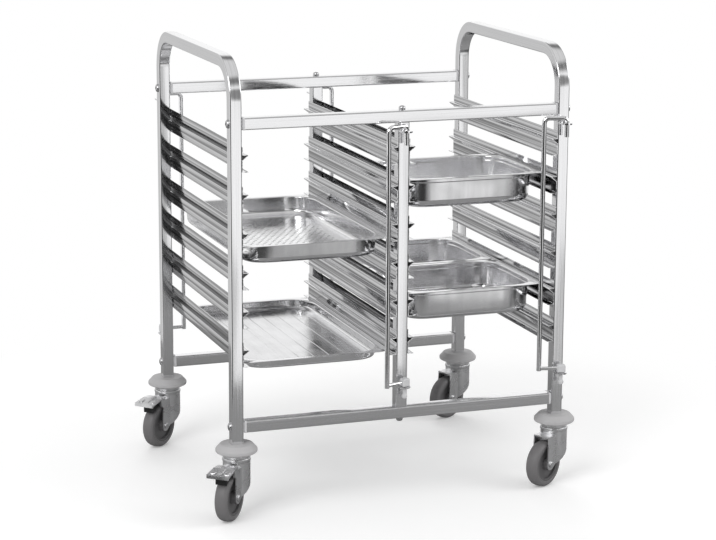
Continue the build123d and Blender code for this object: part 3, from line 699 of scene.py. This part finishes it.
def slide_parts(face, sign, level_z):
    """One folded slide, its ledge towards +X or -X; the inside of its ledge has the second finish, dark
    grey as painted shade.
    """
    right, left = folded_sheet(LEDGE_LINE + LIP_LINE, SLIDE_FOLDS, SLIDE_SHEET)
    outline = np.concatenate([right, left])
    painted_shade_kinds = np.zeros(len(outline), int)
    painted_shade_kinds[PAINTED_SHADE_COLUMNS] = 1
    y = sign * SLIDE_HALF_LENGTH * np.array([[1.0], [-1.0]])
    x = face + sign * outline[:, 0]
    z = level_z + outline[:, 1]
    grid = np.stack(np.broadcast_arrays(x, y, z), -1)
    return surface(grid, around_columns=True, lids=True, kinds=painted_shade_kinds)


def slides():
    """A left and a right slide on each of six levels in both columns."""
    # The second finish is the painted shade inside each ledge.
    finishes = [MATERIALS["slide_steel"], LEDGE_PAINTED_SHADE]
    for column, (left_face, right_face) in COLUMNS.items():
        for level, z in LEDGE_LEVELS.items():
            parts = [slide_parts(left_face, 1, z), slide_parts(right_face, -1, z)]
            node_name = "slides_%s_level_%d" % (column, level)
            name = "folded_slides_%s_%d" % (column, level)
            build(name, parts, "slide_steel", "frame", [node_name], finishes)


# Trays
def quarter_steps(straight_points, corner_points):
    """Places round an eighth of a rounded rectangle: 0 to 1 on the straight, 1 to 2 round half a corner."""
    return np.concatenate([np.linspace(0, 1, straight_points), np.linspace(1, 2, corner_points)[1:]])


def eased_corner(steps):
    """Half a corner on which the cubes of x and y add up to 1, in even steps of its normal's angle."""
    normal = np.clip(steps - 1, 0, 1) * pi / 4
    size = (np.cos(normal) ** 1.5 + np.sin(normal) ** 1.5) ** (1 / 3)
    return np.sqrt(np.cos(normal)) / size, np.sqrt(np.sin(normal)) / size


def rounded_rectangle(width, length, corner, up_side, along_end):
    """Points round a rounded rectangle from its right middle, its eighths placed by two lists of steps."""
    reach = corner * EASED_REACH
    out, on = eased_corner(up_side)
    rise = np.clip(up_side, 0, 1) * (length / 2 - reach)
    first = np.stack([width / 2 - reach + reach * out, rise + reach * on], -1)
    out, on = eased_corner(along_end)
    run = np.clip(along_end, 0, 1) * (width / 2 - reach)
    second = np.stack([run + reach * on, length / 2 - reach + reach * out], -1)
    quarter = np.concatenate([first, second[::-1][1:]])
    mirrored = (quarter * (-1, 1))[::-1][1:-1]
    half = np.concatenate([quarter, mirrored])
    return np.concatenate([half, -half])


def tray_rings(outline, width, length, up_side, along_end):
    """Each outline point, an inset from the rim's edge and a height, carried round the tray."""
    inset = outline[:, 0]
    on_rim = RIM_CORNER + (WELL_CORNER - RIM_CORNER) * inset / RIM_FLANGE
    corner = np.where(inset < RIM_FLANGE, on_rim, WELL_CORNER - (inset - RIM_FLANGE))
    rings = [
        rounded_rectangle(width - 2 * i, length - 2 * i, r, up_side, along_end)
        for i, r in zip(inset, corner)
    ]
    height = np.repeat(outline[:, 1:], len(rings[0]), 1)
    return np.concatenate([np.array(rings), height[..., None]], -1)


HALF_SHEET = TRAY_SHEET / 2
WALL_TOP = RIM_FLANGE + HALF_SHEET
SHOULDER_TOP = WALL_TOP + 0.1


def tray_outline(depth, fold, shoulder, floor_inset):
    """A tray's sheet from the floor's edge up its wall, over the shoulder and out to the rim's edge."""
    floor_z = 1.5 * TRAY_SHEET - depth
    foot = WALL_TOP - floor_z * tan(radians(WELL_DRAFT))
    corners = [(-floor_inset, floor_z), (-foot, floor_z)]
    radii = [fold - HALF_SHEET]
    if shoulder:
        slant_foot = -SHOULDER_DROP - SHOULDER_SLANT
        corners += [(-WALL_TOP - SHOULDER_STEP, slant_foot), (-SHOULDER_TOP, -SHOULDER_DROP)]
        radii += [SHOULDER_FOLD, SHOULDER_FOLD]
    corners += [(-WALL_TOP, HALF_SHEET), (-HALF_SHEET, HALF_SHEET)]
    radii.append(RIM_FOLD)
    under, over = folded_sheet(corners, radii, TRAY_SHEET, steps=6)
    edge = np.array([[-RIM_EDGE, HALF_SHEET]])
    outline = np.concatenate([under, edge, over])
    return outline * (-1, 1)


FLOOR_START = 22.0


def pan_part(length, depth, fold, shoulder, spot):
    """A pressed tray at a spot: its outline carried round, and its floor closed by two faces."""
    steps = quarter_steps(3, 9)
    outline = tray_outline(depth, fold, shoulder, fold + FLOOR_START)
    rings = tray_rings(outline, TRAY_WIDTH, length, steps, steps)
    return moved(surface(rings, around_columns=True, lids=True), placement(spot))


FRONT_PAN_Y = -114.5
REAR_PAN_Y = 155.0
PANS = {
    "upper_pan": (COLUMN_X, FRONT_PAN_Y, LEDGE_LEVELS[2] + TRAY_LIFT),
    "lower_pan_front": (COLUMN_X, FRONT_PAN_Y, LEDGE_LEVELS[5] + TRAY_LIFT),
    "lower_pan_rear": (COLUMN_X, REAR_PAN_Y, LEDGE_LEVELS[5] + TRAY_LIFT),
}
PAN_LENGTH = 265.0
PAN_DEPTH = 65.0
PAN_FOLD = 18.0
TRAY_LENGTH = 530.0
SHALLOW_TRAY_AT = (-COLUMN_X, 0.0, LEDGE_LEVELS[6] - LIP_DROP + TRAY_LIFT)
SHALLOW_DEPTH = 20.0
SHALLOW_FOLD = 9.0
PERFORATED_TRAY_AT = (-COLUMN_X, 0.0, LEDGE_LEVELS[3] - LIP_DROP + TRAY_LIFT)
PERFORATED_DEPTH = 40.0
PERFORATED_FOLD = 13.0


def solid_trays():
    """The three half-size pans, and the shallow tray with its lined floor."""
    for name, spot in PANS.items():
        part = pan_part(PAN_LENGTH, PAN_DEPTH, PAN_FOLD, True, spot)
        build("pressed_" + name, [part], "tray_steel", name + "_body", [name])
    part = pan_part(TRAY_LENGTH, SHALLOW_DEPTH, SHALLOW_FOLD, False, SHALLOW_TRAY_AT)
    both = [MATERIALS["tray_steel"], LINED_FLOOR]
    build("pressed_shallow_tray", [part], "tray_steel", "shallow_tray_body", ["shallow_tray"], both, 1)


HOLE_PITCH = 15.2
HOLE_ROW = HOLE_PITCH * sin(radians(60))
HOLE_RADIUS = 3.0
HOLES_ACROSS = 15
HOLE_ROWS = 34
FIELD_X = (HOLES_ACROSS + 0.5) * HOLE_PITCH / 2
FIELD_Y = HOLE_ROWS * HOLE_ROW / 2
MARGIN_START = RIM_FLANGE + PERFORATED_FOLD + 3.0
RIM_POINTS = 16
BLOCK_ROWS = 5
BLOCK_COLUMNS = 3


def hole_cells():
    """Centres of the cells, each second row shifted half a pitch, and of the half cells at row ends."""
    row = np.arange(HOLE_ROWS)[:, None]
    shift = (row % 2) * 0.5
    x = (np.arange(HOLES_ACROSS) + 0.5 + shift) * HOLE_PITCH - FIELD_X
    y = (row + 0.5 - HOLE_ROWS / 2) * HOLE_ROW + 0 * x
    far = HOLES_ACROSS * HOLE_PITCH / 2
    end_x = np.where(shift == 0, far, -far)
    return np.stack([x, y], -1).reshape(-1, 2), np.concatenate([end_x, y[:, :1]], 1)


def flat_part(points, faces, z, upward):
    """Level faces at a height, looking up or down."""
    return plain_part(at_height(points.reshape(-1, 2), z), faces if upward else faces[:, ::-1])


def at_height(points, z):
    """Flat points with a third coordinate, the same for all."""
    return np.concatenate([points, np.full((len(points), 1), z)], 1)


def perforated_sheet(z, upward):
    """Each cell's sixteen rim points joined to the sixteen points of its round hole."""
    cell = np.array([HOLE_PITCH / 2, HOLE_ROW / 2])
    half = np.array([(1, 0), (1, 0.5), (1, 1), (0.5, 1), (0, 1), (-0.5, 1), (-1, 1), (-1, 0.5)]) * cell
    rim = np.concatenate([half, -half])
    turn = np.arctan2(rim[:, 1], rim[:, 0])
    hole = HOLE_RADIUS * np.stack([np.cos(turn), np.sin(turn)], -1)
    centres, ends = hole_cells()
    rings = centres[:, None, None] + np.stack([hole, rim])[None]
    ring_quads = quads(2, RIM_POINTS, False, True)[:, [0, 3, 2, 1]]
    ring_faces = repeated(ring_quads, len(centres), 2 * RIM_POINTS)
    u, v = np.meshgrid(np.linspace(-0.5, 0.5, BLOCK_COLUMNS), np.linspace(-1, 1, BLOCK_ROWS))
    block = ends[:, None] + np.stack([u.ravel(), v.ravel()], -1)[None] * cell
    block_quads = quads(BLOCK_ROWS, BLOCK_COLUMNS, False, False)
    block_faces = repeated(block_quads, len(ends), BLOCK_ROWS * BLOCK_COLUMNS)
    return [flat_part(rings, ring_faces, z, upward), flat_part(block, block_faces, z, upward)]


def repeated(faces, copies, points_each):
    """The same faces for each copy, with its own run of point numbers."""
    return (np.arange(copies)[:, None, None] * points_each + faces).reshape(-1, 4)


def hole_walls(top, bottom):
    """The wall of every hole, from the upper face of the sheet down to the lower one."""
    cells = perforated_sheet(top, True)[0]
    circles = cells["points"].reshape(-1, 2, RIM_POINTS, 3)[:, 0]
    low = circles * (1, 1, 0) + (0, 0, bottom)
    rings = np.stack([circles, low], 1)
    faces = repeated(quads(2, RIM_POINTS, False, True), len(rings), 2 * RIM_POINTS)
    return plain_part(rings.reshape(-1, 3), faces)


def field_edge(up_count, along_count):
    """Points round the field of holes from its right middle, as many as round the tray."""
    right = np.stack([np.full(up_count + 1, FIELD_X), np.linspace(0, FIELD_Y, up_count + 1)], -1)
    end = np.stack([np.linspace(FIELD_X, 0, along_count + 1), np.full(along_count + 1, FIELD_Y)], -1)
    quarter = np.concatenate([right, end[1:]])
    half = np.concatenate([quarter, (quarter * (-1, 1))[::-1][1:-1]])
    return np.concatenate([half, -half])


def perforated_tray():
    """The deep tray: pressed wall and rim, a plain margin, and the staggered field of holes."""
    up_count = 2 * HOLE_ROWS
    along_count = 2 * HOLES_ACROSS + 1
    up_side = even_steps(up_count, TRAY_LENGTH / 2 - WELL_CORNER * EASED_REACH)
    along_end = even_steps(along_count, TRAY_WIDTH / 2 - WELL_CORNER * EASED_REACH)
    outline = tray_outline(PERFORATED_DEPTH, PERFORATED_FOLD, False, MARGIN_START)
    rings = tray_rings(outline, TRAY_WIDTH, TRAY_LENGTH, up_side, along_end)
    edge = field_edge(up_count, along_count)
    low = outline[0, 1]
    high = outline[-1, 1]
    sheet = np.concatenate([at_height(edge, low)[None], rings, at_height(edge, high)[None]])
    holes = [*perforated_sheet(high, True), *perforated_sheet(low, False), hole_walls(high, low)]
    parts = [surface(sheet, around_columns=True), *holes]
    placed = [moved(part, placement(PERFORATED_TRAY_AT)) for part in parts]
    name = "pressed_perforated_tray"
    build(name, placed, "tray_steel", "perforated_tray_body", ["perforated_tray"], weld=True)


def even_steps(count, straight):
    """Steps of equal length along the straight and round half the corner."""
    arc = WELL_CORNER * pi / 4
    run = np.linspace(0, straight + arc, count + 1)
    return np.where(run < straight, run / straight, 1 + (run - straight) / arc)


# Castors
TRAIL_ANGLES = {"left_front": 40.0, "left_rear": 48.0, "right_front": 58.5, "right_rear": 63.5}
WHEEL_RADIUS = 50.0
WHEEL_WIDTH = 28.0
TRAIL = 38.0
TYRE_BORE = 37.6
TYRE_CHEEK = ((TYRE_BORE, 0.9), (38.4, 0.2), (39.6, 0.2), (40.0, 0.7), (41.0, 0.7))
TYRE_SHOULDER = 7.7
TREAD_CROWN = 0.5
CROWN_TOP = 0.05
CROWN_TOP_INSET = 10.0
TYRE_POINTS = 72


def castor_placement(name):
    """About a leg's middle, turned so that the fork trails at its angle."""
    side, end = name.split("_")
    spot = (SIDES[side] * LEG_X, ENDS[end] * LEG_Y, 0)
    return placement(spot, turn=-90 - TRAIL_ANGLES[name])


def wheel_placement(name):
    """About the axle, the trail behind the leg's middle and a wheel's radius up."""
    axle = Matrix.Translation((TRAIL, 0, WHEEL_RADIUS)) @ Matrix.Rotation(radians(90), 4, "X")
    return castor_placement(name) @ np.array(axle)


def tyre_part():
    """A ring of rubber: cheeks with a moulding line, quarter-circle shoulders and a crowned tread."""
    half = WHEEL_WIDTH / 2
    cheek = np.array([(radius, half - drop) for radius, drop in TYRE_CHEEK])
    turn = np.radians(np.linspace(0, 90, 7))
    reach = WHEEL_RADIUS - TREAD_CROWN - TYRE_SHOULDER + TYRE_SHOULDER * np.sin(turn)
    shoulder = np.stack([reach, half - TYRE_SHOULDER + TYRE_SHOULDER * np.cos(turn)], -1)
    tread = np.array([(WHEEL_RADIUS - CROWN_TOP, half - CROWN_TOP_INSET)])
    upper = np.concatenate([cheek, shoulder, tread])
    lower = (upper * (1, -1))[::-1]
    profile = np.concatenate([lower, upper])[::-1]
    return surface(turned(profile, TYRE_POINTS), around_rows=True, around_columns=True)


def tyres():
    """The same tyre on all four wheels."""
    part = tyre_part()
    for name in TRAIL_ANGLES:
        placed = [moved(part, wheel_placement(name))]
        nodes = ["castor_tyre_" + name]
        build("moulded_tyre_" + name, placed, "tyre_grey", "wheel_" + name, nodes, sharp=50.0)


PEDAL_LEVEL = 117.7
PEDAL_BEND_X = 62.0
PEDAL_SLOPE = 6.0 / 35.0
PEDAL_RIB = (68.0, 0.0, 21.0, 5.0, 1.5)
PEDAL_LUGS = ((82.0, 15.5, 8.5, 5.5, 1.9), (82.0, -15.5, 8.5, 5.5, 1.9))
LUG_STEEPNESS = 1.6
PATCH_START = 45.5
PATCH_END = 92.5
PATCH_HALF_WIDTH = 22.0
PATCH_STEP = 0.5
PATCH_SUNK = 0.25
PATCH_UNDERSIDE = 0.7


def pedal_lugs():
    """A pressed rib and two lugs: smooth steps of one less the fourth powers of x and y over half sizes."""
    rows = round((PATCH_END - PATCH_START) / PATCH_STEP) + 1
    columns = round(2 * PATCH_HALF_WIDTH / PATCH_STEP) + 1
    x = np.linspace(PATCH_START, PATCH_END, rows)[:, None]
    y = np.linspace(PATCH_HALF_WIDTH, -PATCH_HALF_WIDTH, columns)[None, :]
    rise = np.zeros((rows, columns))
    for middle_x, middle_y, half_x, half_y, height in (PEDAL_RIB, *PEDAL_LUGS):
        fall = ((x - middle_x) / half_x) ** 4 + ((y - middle_y) / half_y) ** 4
        inside = np.clip(LUG_STEEPNESS * (1 - fall), 0, 1)
        rise = np.maximum(rise, height * inside * inside * (3 - 2 * inside))
    level = PEDAL_LEVEL - PEDAL_SLOPE * np.maximum(x - PEDAL_BEND_X, 0)
    top = np.stack(np.broadcast_arrays(x, y, level - PATCH_SUNK + rise), -1)
    under_y = np.array([[-PATCH_HALF_WIDTH, PATCH_HALF_WIDTH]])
    under = np.stack(np.broadcast_arrays(x, under_y, level - PATCH_UNDERSIDE), -1)
    part = surface(np.concatenate([top, under], 1), around_columns=True, lids=True)
    for name in ("left_front", "left_rear"):
        placed = moved(part, castor_placement(name))
        build("pedal_lugs_" + name, [placed], "zinc", "brake_" + name, [])


def dress_solids():
    """Each solid gets the finish of its slot."""
    for name, piece in NODES.items():
        piece.data.materials.clear()
        piece.data.materials.append(MATERIALS[SLOT_OF[name]])


bpy.context.scene.view_settings.view_transform = "Standard"
place_camera()
light_studio()
lay_floor()
dress_solids()
frame_tubes()
bolt_heads()
slides()
solid_trays()
perforated_tray()
tyres()
pedal_lugs()
